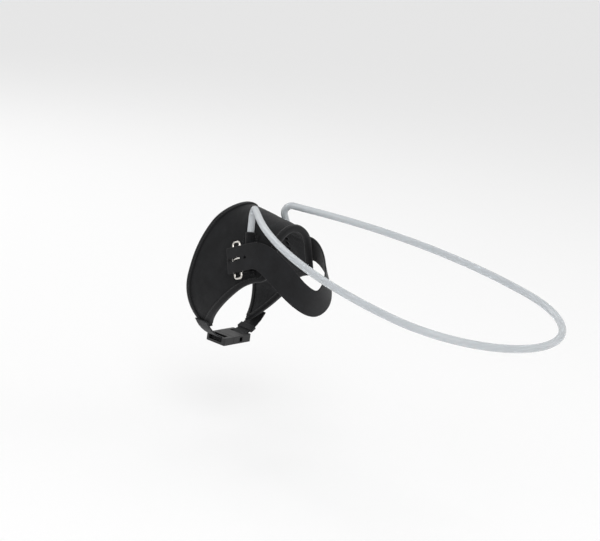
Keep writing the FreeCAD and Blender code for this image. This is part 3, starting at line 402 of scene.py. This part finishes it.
def rim_frames():
    """At each rim point: heading, outward edge direction, and the two faces' normals and inward runs."""
    found = []
    for i in range(RIM_COUNT):
        heading = unit(outer_rim[(i + 2) % RIM_COUNT] - outer_rim[i - 2])
        thick = unit(outer_rim[i] - inner_rim[i])
        edge = unit(np.cross(heading, thick))
        probe = (outer_rim[i] + inner_rim[i]) / 2
        near_in = shell_tree.find_nearest(Vector(probe - edge * 4 * MM))[3]
        near_out = shell_tree.find_nearest(Vector(probe + edge * 4 * MM))[3]
        if near_in > near_out:
            edge = -edge
        _, n_out, _, _ = shell_tree.find_nearest(Vector(outer_rim[i] - edge * 3 * MM + thick * MM))
        _, n_in, _, _ = lining_tree.find_nearest(Vector(inner_rim[i] - edge * 3 * MM - thick * MM))
        found.append((heading, edge, np.array(n_out), np.array(n_in), thick))
    edges = eased(np.array([f[1] for f in found]), 4)
    outs = np.array([f[2] * np.sign(f[2] @ f[4]) for f in found])
    ins = np.array([f[3] * -np.sign(f[3] @ f[4]) for f in found])
    return np.array([f[0] for f in found]), edges, eased(outs, 6), eased(ins, 6)


HEADINGS, EDGES, FACE_OUT, FACE_IN = rim_frames()
TAPE = 5.2 * MM


def run_in(normal, i):
    d = np.cross(HEADINGS[i], normal)
    return unit(d * -np.sign(d @ EDGES[i]))


def rim_profile(i):
    """Section of the folded tape at one rim point, from its outer hem round the edge to its inner hem."""
    p, q = outer_rim[i], inner_rim[i]
    n, m = unit(FACE_OUT[i]), unit(FACE_IN[i])
    a, b = run_in(n, i), run_in(m, i)
    e = unit(EDGES[i])
    mid = (p + q) / 2
    pucker = 0.12 * MM * math.sin(i * 0.9)
    return [p + a * TAPE - n * 0.3 * MM, p + a * TAPE + n * 0.75 * MM,
            p + a * TAPE * 0.85 + n * 1.1 * MM, p + a * TAPE * 0.45 + n * (1.15 * MM + pucker),
            p + a * 0.9 * MM + n * 0.95 * MM, p + e * 0.45 * MM + n * 0.45 * MM,
            mid * 0.5 + p * 0.5 + e * 1.0 * MM, mid + e * 1.15 * MM, mid * 0.5 + q * 0.5 + e * 1.0 * MM,
            q + e * 0.45 * MM + m * 0.45 * MM, q + b * 0.9 * MM + m * 0.95 * MM,
            q + b * TAPE * 0.45 + m * (1.15 * MM + pucker), q + b * TAPE * 0.85 + m * 1.1 * MM,
            q + b * TAPE + m * 0.75 * MM, q + b * TAPE - m * 0.3 * MM]


def closed_sweep(name, sections, mat, step):
    """Closed tube through a closed run of sections, with UV in metres."""
    count, size = len(sections), len(sections[0])
    mesh = bpy.data.meshes.new(name)
    verts = [tuple(p) for row in sections for p in row]
    faces, uvs = [], []
    section = np.array(sections[0] + [sections[0][0]])
    girth = np.r_[0, np.cumsum(np.linalg.norm(np.diff(section, axis=0), axis=1))]
    for i in range(count):
        for j in range(size):
            k, l = (i + 1) % count, (j + 1) % size
            faces.append((i * size + j, i * size + l, k * size + l, k * size + j))
            uvs.append(((i * step, girth[j]), (i * step, girth[j + 1]),
                        ((i + 1) * step, girth[j + 1]), ((i + 1) * step, girth[j])))
    mesh.from_pydata(verts, [], faces)
    layer = mesh.uv_layers.new(name="along_strap")
    for face, corner in zip(mesh.polygons, uvs):
        for loop, uv in zip(face.loop_indices, corner):
            layer.data[loop].uv = uv
    obj = link(bpy.data.objects.new(name, mesh))
    face_outwards(obj)
    return smooth(obj, mat)


def face_outwards(obj):
    bm = bmesh.new()
    bm.from_mesh(obj.data)
    bmesh.ops.recalc_face_normals(bm, faces=bm.faces)
    bm.to_mesh(obj.data)
    bm.free()


rim_step = float(np.linalg.norm(np.diff(outer_rim, axis=0), axis=1).mean())
binding = closed_sweep("edge_tape", [rim_profile(i) for i in range(RIM_COUNT)], BINDING, rim_step)

# ---------------------------------------------------------------- the padded yoke
PAD_VOXEL = 1.6 * MM
# How far the remeshed skin is set out, on the face side and on the coat side
FACE_GROWTH, COAT_GROWTH = 1.0 * MM, 0.2 * MM
# The most that the stuffing's pressure may move a point of the skin
PUFF_LIMIT = 1.7 * MM
RUMPLE = 0.75 * MM
CLOTH_FRAMES = 20
# The yoke wraps an upright stretch of its middle plane, from this height to this one
WRAP_LOW, WRAP_HIGH = -0.03, 0.038

pad = welded("yoke_pad", "yoke_foam", "yoke_mesh_lining")
remesh = pad.modifiers.new("remesh", "REMESH")
remesh.mode = "VOXEL"
remesh.voxel_size = PAD_VOXEL
bake(pad)
hardware = np.concatenate([points(NODES[n])[::3] for n in (
    "sleeve_right", "sleeve_left", "buckle_tab_right", "buckle_tab_left",
    "girth_strap_left", "girth_strap_right", "girth_keeper", "sleeve_patch_left", "sleeve_patch_right")])
rest = points(pad)
push = normals(pad)
near_rim = distance_to(rest, (outer_rim[::3] + inner_rim[::3]) / 2)
near_metal = distance_to(rest, hardware[:: max(1, len(hardware) // 2500)])
# 0 where the pad is bound or sewn down, 1 where it is free to swell
room = (np.clip((near_rim - 5 * MM) / (14 * MM), 0, 1)
        * np.clip((near_metal - 2.5 * MM) / (9 * MM), 0, 1))
hub = np.c_[np.zeros(len(rest)), rest[:, 1], np.clip(rest[:, 2], WRAP_LOW, WRAP_HIGH)]
faces_out = ((rest - hub) * push).sum(1) > 0
start = rest + push * np.where(faces_out, FACE_GROWTH, COAT_GROWTH)[:, None]
put(pad, start)
group = pad.vertex_groups.new(name="held")
for i in np.nonzero(room <= 0.02)[0]:
    group.add([int(i)], 1.0, "REPLACE")
cloth = pad.modifiers.new("cloth", "CLOTH")
rule = cloth.settings
rule.quality = 4
rule.mass = 0.2
rule.use_pressure = True
rule.uniform_pressure_force = 4.0
rule.tension_stiffness = 12
rule.compression_stiffness = 12
rule.bending_stiffness = 0.4
rule.effector_weights.gravity = 0.0
rule.vertex_group_mass = "held"
cloth.collision_settings.use_collision = False
cloth.point_cache.frame_start = 1
cloth.point_cache.frame_end = CLOTH_FRAMES
for number in range(1, CLOTH_FRAMES + 1):
    bpy.context.scene.frame_set(number)
bake(pad)
bpy.context.scene.frame_set(1)
moved = points(pad) - start
length = np.linalg.norm(moved, axis=1)
limit = PUFF_LIMIT * room
moved *= (np.minimum(length, limit) / np.maximum(length, 1e-9))[:, None]
put(pad, start + moved)
pad.vertex_groups.clear()
# Soft rumples left in the cloth by wear, none where it is bound or sewn
places = points(pad)
lift = np.array([noise.noise(Vector(p) * 42) + 0.45 * noise.noise(Vector(p) * 110) for p in places])
put(pad, places + push * (lift * RUMPLE * room)[:, None])
smooth(pad, SHELL)
pad.data.materials.append(LINING)
# The side that faces the coat is the lining
for face in pad.data.polygons:
    c, n = np.array(face.center), np.array(face.normal)
    axis_point = np.array([0.0, c[1], min(max(c[2], WRAP_LOW), WRAP_HIGH)])
    face.material_index = 1 if n @ (c - axis_point) < 0 else 0
pad_tree = tree_of(pad)


# ---------------------------------------------------------------- the hoop's sleeves
def mirrored(obj, name):
    """The left-hand twin of a right-hand piece."""
    mesh = obj.data.copy()
    mesh.name = name
    twin = link(bpy.data.objects.new(name, mesh))
    places = points(twin)
    places[:, 0] *= -1
    put(twin, places)
    mesh.flip_normals()
    return twin


def thick_sheet(name, grid, uvs, thickness, mat):
    """Closed sheet of cloth over a grid of points, with UV in metres."""
    h, w = len(grid), len(grid[0])
    mesh = bpy.data.meshes.new(name)
    faces = [(i * w + j, i * w + j + 1, (i + 1) * w + j + 1, (i + 1) * w + j)
             for i in range(h - 1) for j in range(w - 1)]
    mesh.from_pydata([tuple(p) for row in grid for p in row], [], faces)
    layer = mesh.uv_layers.new(name="along_strap")
    flat = [uv for row in uvs for uv in row]
    for loop in mesh.loops:
        layer.data[loop.index].uv = flat[loop.vertex_index]
    obj = link(bpy.data.objects.new(name, mesh))
    wall = obj.modifiers.new("wall", "SOLIDIFY")
    wall.thickness = thickness
    wall.offset = 0.0
    bake(obj)
    face_outwards(obj)
    return smooth(obj, mat)


SLEEVE_R = 5.15 * MM
FLANGE = 10.5 * MM
COVER_ROWS, COVER_COLUMNS = 46, 41
MOUTH_SIDES = 56
# How far outside the sleeve a line is started that looks for the pad's face
PROBE_OUT = 0.03


def surface_height(along, rise):
    """How far the pad's face stands out under one point of the sleeve."""
    start_at = Vector(on_sleeve(along, rise, PROBE_OUT))
    hit = pad_tree.ray_cast(start_at, Vector(-OUT))
    return PROBE_OUT - hit[3] if hit[0] is not None else -MM


def sleeve_cover():
    """Cloth laid over the tube's pocket and down on the pad to both sides and below."""
    grid, uvs = [], []
    low, high = -HALF_SLEEVE - 4.5 * MM, HALF_SLEEVE - 2.6 * MM
    for i in range(COVER_ROWS):
        s = low + (high - low) * i / (COVER_ROWS - 1)
        row, uv = [], []
        for j in range(COVER_COLUMNS):
            u = -FLANGE + 2 * FLANGE * j / (COVER_COLUMNS - 1)
            base = surface_height(math.copysign(max(abs(u), SLEEVE_R + 1.2 * MM), u), s) + 0.35 * MM
            toe = min(1.0, max(0.0, (s - low - 2.5 * MM) / (5.0 * MM)))
            toe = math.sqrt(max(0.0, 1 - (1 - toe) ** 2))
            dome = math.sqrt(max(SLEEVE_R ** 2 - u * u, 0.0)) * toe if abs(u) < SLEEVE_R else -1 * MM
            crease = 0.22 * MM * math.sin(s * 1150 + 2.2 * math.sin(u * 420))
            crease *= math.exp(-((abs(u) - 5 * MM) / (2.2 * MM)) ** 2)
            k = 1.2 * MM
            h = max(k - abs(dome - base), 0.0) / k
            top = max(dome, base) + h * h * k * 0.25 + crease
            row.append(on_sleeve(u, s, top))
            uv.append((s, u))
        grid.append(row)
        uvs.append(uv)
    return thick_sheet("sleeve_cover_right", grid, uvs, 0.7 * MM, SLEEVE)


def sleeve_mouth():
    """Rolled hem round the mouth, where the tube goes in, and the lining behind it."""
    profile = [(4.15, -9.0), (4.12, -4.0), (4.14, -1.0), (4.3, 0.25), (4.75, 0.65), (5.35, 0.45),
               (5.75, -0.4), (5.85, -1.6), (5.75, -2.9), (5.3, -3.5), (5.1, -5.0), (5.0, -9.0)]
    sections = []
    for k in range(MOUTH_SIDES):
        angle = 2 * math.pi * k / MOUTH_SIDES
        row = []
        for radius, rise in profile:
            r = (radius + 0.1 * math.sin(3 * angle + 1.0) * (radius > 4.6)) * MM
            height = HALF_SLEEVE + rise * MM - 0.2 * MM
            row.append(on_sleeve(math.cos(angle) * r, height, math.sin(angle) * r))
        sections.append(row)
    return closed_sweep("sleeve_mouth_right", sections, SLEEVE, 0.6 * MM)


cover_right = sleeve_cover()
mouth_right = sleeve_mouth()
cover_left = mirrored(cover_right, "sleeve_cover_left")
mouth_left = mirrored(mouth_right, "sleeve_mouth_left")

# ---------------------------------------------------------------- straps, tabs and keeper
# Middles that the chest strap and the girth strap run round, for measuring along them
CHEST_Y, GIRTH_Z = -0.045, -0.03
CHEST_ACROSS = unit(np.array([0.0, -0.25, 1.0]))
chest = soft("chest_webbing", ["chest_strap"], 0.55, 3, WEBBING)
path_uv(chest, 90, lambda p: np.arctan2(p[:, 0], -(p[:, 1] - CHEST_Y)), CHEST_ACROSS)
girth = {}
for side in ("left", "right"):
    girth[side] = soft("girth_webbing_" + side, ["girth_strap_" + side], 0.5, 3, WEBBING)
    path_uv(girth[side], 40, lambda p: np.arctan2(p[:, 0], -(p[:, 2] - GIRTH_Z)),
            np.array([0.0, 1.0, 0.0]))
keeper = soft("keeper_band", ["girth_keeper"], 0.5, 3, ELASTIC)
path_uv(keeper, 8, lambda p: p[:, 2], np.array([0.0, 1.0, 0.0]))
tab_right = soft("tab_webbing_right", ["buckle_tab_right"], 0.45, 4, WEBBING)
path_uv(tab_right, 12, lambda p: p @ BUCKLE_ALONG, BUCKLE_RISE)
tab_left = mirrored(tab_right, "tab_webbing_left")

# ---------------------------------------------------------------- stitching
def stitch_group():
    """Stitches along every run of edges: short rounded threads at an even spacing."""
    tree = bpy.data.node_groups.new("stitch_rows", "GeometryNodeTree")
    tree.interface.new_socket("Geometry", in_out="INPUT", socket_type="NodeSocketGeometry")
    for label, kind, value in (("Spacing", "NodeSocketFloat", 3.0 * MM),
                               ("Stitch Length", "NodeSocketFloat", 2.1 * MM),
                               ("Thread", "NodeSocketFloat", 0.5 * MM),
                               ("Material", "NodeSocketMaterial", None)):
        socket = tree.interface.new_socket(label, in_out="INPUT", socket_type=kind)
        if value is not None:
            socket.default_value = value
    tree.interface.new_socket("Geometry", in_out="OUTPUT", socket_type="NodeSocketGeometry")
    given = add(tree, "NodeGroupInput")
    line = add(tree, "GeometryNodeMeshToCurve", {"Mesh": given.outputs["Geometry"]})
    even = add(tree, "GeometryNodeCurveToPoints",
               {"Curve": line.outputs[0], "Length": given.outputs["Spacing"]}, mode="LENGTH")
    bead = add(tree, "GeometryNodeMeshUVSphere", {"Segments": 6, "Rings": 5, "Radius": 0.5})
    size = add(tree, "ShaderNodeCombineXYZ", {0: given.outputs["Thread"], 1: given.outputs["Thread"],
                                              2: given.outputs["Stitch Length"]})
    turn = add(tree, "FunctionNodeAlignRotationToVector", {"Vector": even.outputs["Tangent"]}, axis="Z")
    rows = add(tree, "GeometryNodeInstanceOnPoints",
               {"Points": even.outputs["Points"], "Instance": bead.outputs["Mesh"],
                "Rotation": turn.outputs[0], "Scale": size.outputs[0]})
    real = add(tree, "GeometryNodeRealizeInstances", {"Geometry": rows.outputs[0]})
    shade = add(tree, "GeometryNodeSetShadeSmooth", {"Geometry": real.outputs[0]})
    paint = add(tree, "GeometryNodeSetMaterial",
                {"Geometry": shade.outputs[0], "Material": given.outputs["Material"]})
    out = add(tree, "NodeGroupOutput")
    tree.links.new(paint.outputs[0], out.inputs[0])
    return tree


STITCHES = stitch_group()


def stitched(name, lines):
    """One object with the stitches of several runs of points."""
    verts, edges = [], []
    for line in lines:
        first = len(verts)
        verts += [tuple(p) for p in line]
        edges += [(first + i, first + i + 1) for i in range(len(line) - 1)]
    mesh = bpy.data.meshes.new(name)
    mesh.from_pydata(verts, edges, [])
    obj = link(bpy.data.objects.new(name, mesh))
    rows = obj.modifiers.new("stitches", "NODES")
    rows.node_group = STITCHES
    for item in STITCHES.interface.items_tree:
        if item.in_out == "INPUT" and item.name == "Material":
            rows[item.identifier] = THREAD
    bake(obj)
    return obj


def ring(line):
    """A run that comes back to its first point."""
    return np.r_[line, line[:1]]


def rim_row(rim, faces):
    """A row of stitches on the folded tape, on one face of the yoke."""
    return ring(np.array([rim[i] + run_in(unit(faces[i]), i) * TAPE * 0.72 + unit(faces[i]) * 1.12 * MM
                          for i in range(RIM_COUNT)]))


def laid(tree, p, toward, height):
    """A point let down on a surface."""
    hit = tree.ray_cast(Vector(p - toward * 0.02), Vector(toward))
    return np.array(hit[0]) - toward * height if hit[0] is not None else p


rows_outer = rim_row(outer_rim, FACE_OUT)
rows_inner = rim_row(inner_rim, FACE_IN)
cover_tree = tree_of(cover_right)
HEM = FLANGE - 1.4 * MM
ROW_LENGTH = 2 * HALF_SLEEVE - 1.5 * MM
flange_rows = []
for u in (-HEM, HEM, -SLEEVE_R - 1.6 * MM, SLEEVE_R + 1.6 * MM):
    line = [on_sleeve(u, -HALF_SLEEVE - 3 * MM + ROW_LENGTH * i / 30, 0.0) for i in range(31)]
    flange_rows.append(np.array([laid(cover_tree, p, -OUT, 0.1 * MM) for p in line]))
foot = [on_sleeve(-HEM + 2 * HEM * i / 16, -HALF_SLEEVE - 3.2 * MM, 0.0) for i in range(17)]
flange_rows.append(np.array([laid(cover_tree, p, -OUT, 0.1 * MM) for p in foot]))
flip = np.array([-1.0, 1.0, 1.0])
tab_tree = tree_of(tab_right)
tab_pts = points(tab_right)
tab_a = (tab_pts - BUCKLE_MID) @ BUCKLE_ALONG
tab_r = (tab_pts - BUCKLE_MID) @ BUCKLE_RISE
a0, a1 = tab_a.min() + 1.6 * MM, -7.6 * MM
r0, r1 = tab_r.min() + 1.8 * MM, tab_r.max() - 1.8 * MM


def on_buckle(along, rise, out):
    return BUCKLE_MID + BUCKLE_ALONG * along + BUCKLE_RISE * rise + OUT * out


# A box with one diagonal holds the tab down
box_corners = ((a0, r0), (a1, r0), (a1, r1), (a0, r1), (a0, r0), (a1, r1))
box_line = []
for (ua, ra), (ub, rb) in zip(box_corners, box_corners[1:]):
    box_line += [on_buckle(ua + (ub - ua) * i / 12, ra + (rb - ra) * i / 12, 0.0) for i in range(13)]
tab_row = np.array([laid(tab_tree, p, -OUT, 0.05 * MM) for p in box_line])
lines = [rows_outer, rows_inner]
# Each girth strap's lap has a box with one diagonal too, in degrees round the strap and millimetres across it
LAP_HUB_Z, LAP_REACH = -0.0305, 0.06
for side, sign in (("left", 1.0), ("right", -1.0)):
    lap_tree, lap_pts = tree_of(girth[side]), points(girth[side])
    mid_y = (lap_pts[:, 1].max() + lap_pts[:, 1].min()) / 2
    top = np.degrees(np.arctan2(np.abs(lap_pts[:, 0]), -(lap_pts[:, 2] - LAP_HUB_Z)).max())
    corners = ((top - 2.0, -8.0), (top - 2.0, 8.0), (top - 11.0, 8.0), (top - 11.0, -8.0), (top - 2.0, -8.0),
               (top - 11.0, 8.0))
    row = []
    for (fa, ya), (fb, yb) in zip(corners, corners[1:]):
        for i in range(12):
            turn = math.radians(fa + (fb - fa) * i / 12)
            away = np.array([sign * math.sin(turn), 0.0, -math.cos(turn)])
            spot = np.array([0.0, mid_y + (ya + (yb - ya) * i / 12) * MM, LAP_HUB_Z]) + away * LAP_REACH
            row.append(laid(lap_tree, spot, -away, 0.05 * MM))
    lines.append(np.array(row))
for row in flange_rows + [tab_row]:
    lines += [row, row * flip]
stitches = stitched("yoke_stitching", lines)

# ---------------------------------------------------------------- finishes of the hard parts
for mat, names in ((TUBE, ("hoop_tube",)), (CORE, ("hoop_core_wire",)),
                   (CAP, ("hoop_end_cap_left", "hoop_end_cap_right")),
                   (NICKEL, ("buckle_frame_left", "buckle_frame_right",
                             "buckle_roller_left", "buckle_roller_right",
                             "buckle_tongue_left", "buckle_tongue_right")),
                   (ACETAL, ("girth_clip_female", "girth_clip_male", "girth_clip_arms"))):
    for name in names:
        obj = NODES[name]
        obj.data.materials.clear()
        obj.data.materials.append(mat)
        for place in obj.material_slots:
            place.material = mat

# ---------------------------------------------------------------- what carries and replaces what
for obj in (pad, binding, cover_right, cover_left, mouth_right, mouth_left, chest, girth["left"], keeper,
            tab_right, tab_left, stitches):
    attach(obj, "yoke")
clip_end = girth["right"]
pts = points(clip_end)
tuple(pts[pts[:, 2].argmax()])
tuple(pts[pts[:, 0].argmax()])
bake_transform(clip_end)
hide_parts("yoke_outer_shell", "yoke_foam", "yoke_mesh_lining")
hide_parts("yoke_edge_binding")
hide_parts("sleeve_right", "sleeve_patch_right")
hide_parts("sleeve_left", "sleeve_patch_left")
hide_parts("chest_strap")
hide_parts("girth_strap_left")
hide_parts("girth_strap_right")
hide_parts("girth_keeper")
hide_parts("buckle_tab_right")
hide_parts("buckle_tab_left")

# ---------------------------------------------------------------- floor, light and camera
FLOOR_Z = -0.21
bpy.ops.mesh.primitive_plane_add(size=30, location=(0, 0, FLOOR_Z))
floor = bpy.context.object
floor.name = "floor"
paper, tree, shader = principled("white_paper_floor", Base_Color=linear("e4e4e4"), Roughness=0.9)
mottle = add(tree, "ShaderNodeTexNoise", {"Vector": scaled_coords(tree, 2000.0), "Scale": 1.0})
bump(tree, shader, mottle.outputs["Fac"], 0.02 * MM, 0.2)
shader.inputs["Emission Color"].default_value = (1, 1, 1, 1)
shader.inputs["Emission Strength"].default_value = 0.2
floor.data.materials.append(paper)

world = bpy.data.worlds.new("studio")
bpy.context.scene.world = world
world.use_nodes = True
sky = world.node_tree
sky.nodes.clear()
soft_sky = add(sky, "ShaderNodeBackground", {"Color": (1, 1, 1, 1), "Strength": 0.74})
white = add(sky, "ShaderNodeBackground", {"Color": (1, 1, 1, 1), "Strength": 1.0})
ray = add(sky, "ShaderNodeLightPath")
seen = add(sky, "ShaderNodeMixShader",
           {0: ray.outputs["Is Camera Ray"], 1: soft_sky.outputs[0], 2: white.outputs[0]})
end = add(sky, "ShaderNodeOutputWorld")
sky.links.new(seen.outputs[0], end.inputs["Surface"])


def softbox(name, place, aim, size, power):
    data = bpy.data.lights.new(name, "AREA")
    data.shape = "SQUARE"
    data.size = size
    data.energy = power
    obj = link(bpy.data.objects.new(name, data))
    obj.location = place
    obj.rotation_euler = (Vector(aim) - Vector(place)).to_track_quat("-Z", "Y").to_euler()


MIDDLE = (0, -0.12, 0)
softbox("key", (-1.3, -1.2, 1.7), MIDDLE, 1.3, 15)
softbox("fill", (1.6, -1.4, 1.0), MIDDLE, 1.6, 5)
softbox("back", (0.4, 1.9, 1.5), MIDDLE, 1.2, 9)

azimuth, elevation, roll = (math.radians(v) for v in (-48.13, 11.76, 7.22))
# The camera stands this far from a point on the yoke's top and aims a little right of it and below it
LOOK, FAR = np.array([0.0, -0.015, 0.0765]), 1.8238
AIM_RIGHT, AIM_DOWN = 0.017125, 0.0389375
LENS_MM, SENSOR_MM = 96.0, 36.0
back = np.array([math.sin(azimuth) * math.cos(elevation), -math.cos(azimuth) * math.cos(elevation),
                 math.sin(elevation)])
right = np.array([math.cos(azimuth), math.sin(azimuth), 0.0])
up = np.cross(back, right)
right, up = (right * math.cos(roll) + up * math.sin(roll),
             up * math.cos(roll) - right * math.sin(roll))
look = unit(-back + right * AIM_RIGHT - up * AIM_DOWN)
right = unit(right - look * (right @ look))
up = np.cross(right, look)
lens = bpy.data.cameras.new("camera")
lens.lens = LENS_MM
lens.sensor_width = SENSOR_MM
camera = link(bpy.data.objects.new("camera", lens))
stand = LOOK + back * FAR
camera.matrix_world = Matrix([[right[k], up[k], -look[k], stand[k]] for k in range(3)] + [[0, 0, 0, 1]])
bpy.context.scene.camera = camera
bpy.context.scene.view_settings.view_transform = "Standard"
